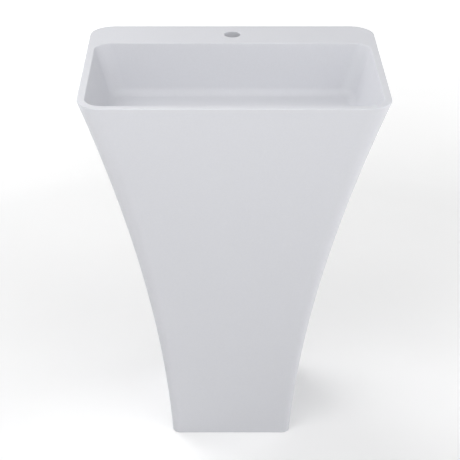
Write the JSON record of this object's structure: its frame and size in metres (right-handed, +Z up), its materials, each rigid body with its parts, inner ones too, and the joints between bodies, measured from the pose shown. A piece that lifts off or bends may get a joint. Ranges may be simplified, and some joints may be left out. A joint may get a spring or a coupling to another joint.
{
  "type": "pedestal sink",
  "caption": "Free-standing sink: a deep rectangular bowl and tap deck on a hollow pedestal that flares from a narrow foot to a wide rim, with its waste and trap inside.",
  "frame": {"origin": "on the floor, under the middle of the rim", "axes": "+X to the right seen from the front, +Y towards the wall behind, +Z up"},
  "size_m": [0.6, 0.45, 0.85],
  "materials": {
    "stone_resin": "matte",
    "chrome": "polished",
    "brass": "satin",
    "stainless_steel": "satin",
    "zinc_plate": "satin",
    "rubber": "matte",
    "clear_seal": "satin",
    "nylon": "satin",
    "white_plastic": "gloss"
  },
  "bodies": {
    "basin": {"sink_body": "stone_resin", "back_panel": "stone_resin", "wall_bush_left": "nylon", "wall_bush_right": "nylon", "waste_body": "chrome", "flange_gasket": "clear_seal", "click_sleeve": "brass", "click_spring": "stainless_steel", "lower_gasket": "rubber", "slip_ring": "nylon", "waste_locknut": "brass", "tail_washer": "rubber", "tailpiece": "white_plastic", "tail_nut": "white_plastic", "trap_body": "white_plastic", "neck_seal": "rubber", "neck_nut": "white_plastic", "outlet_seal": "rubber", "outlet_nut": "white_plastic", "waste_arm": "white_plastic", "floor_bracket_left": "zinc_plate", "bracket_bolt_left_1": "stainless_steel", "bracket_insert_left_1": "brass", "bracket_bolt_left_2": "stainless_steel", "bracket_insert_left_2": "brass", "floor_bracket_right": "zinc_plate", "bracket_bolt_right_1": "stainless_steel", "bracket_insert_right_1": "brass", "bracket_bolt_right_2": "stainless_steel", "bracket_insert_right_2": "brass"},
    "stopper": {"stopper_cap": "chrome", "stopper_seal": "rubber", "stopper_stem": "brass"},
    "cup": {"trap_cup": "white_plastic", "cup_seal": "rubber"},
    "escutcheon": {"wall_flange": "white_plastic"}
  },
  "joints": [
    {"name": "stopper_lift", "type": "slide", "parent": "basin", "child": "stopper", "axis": [0, 0, 1], "range_m": [0, 0.007], "deforming": ["click_spring"]},
    {"name": "cup_removal", "type": "slide", "parent": "basin", "child": "cup", "axis": [0, 0, -1], "range_m": [0, 0.08]},
    {"name": "flange_slide", "type": "slide", "parent": "basin", "child": "escutcheon", "axis": [0, -1, 0], "range_m": [0, 0.12]}
  ]
}
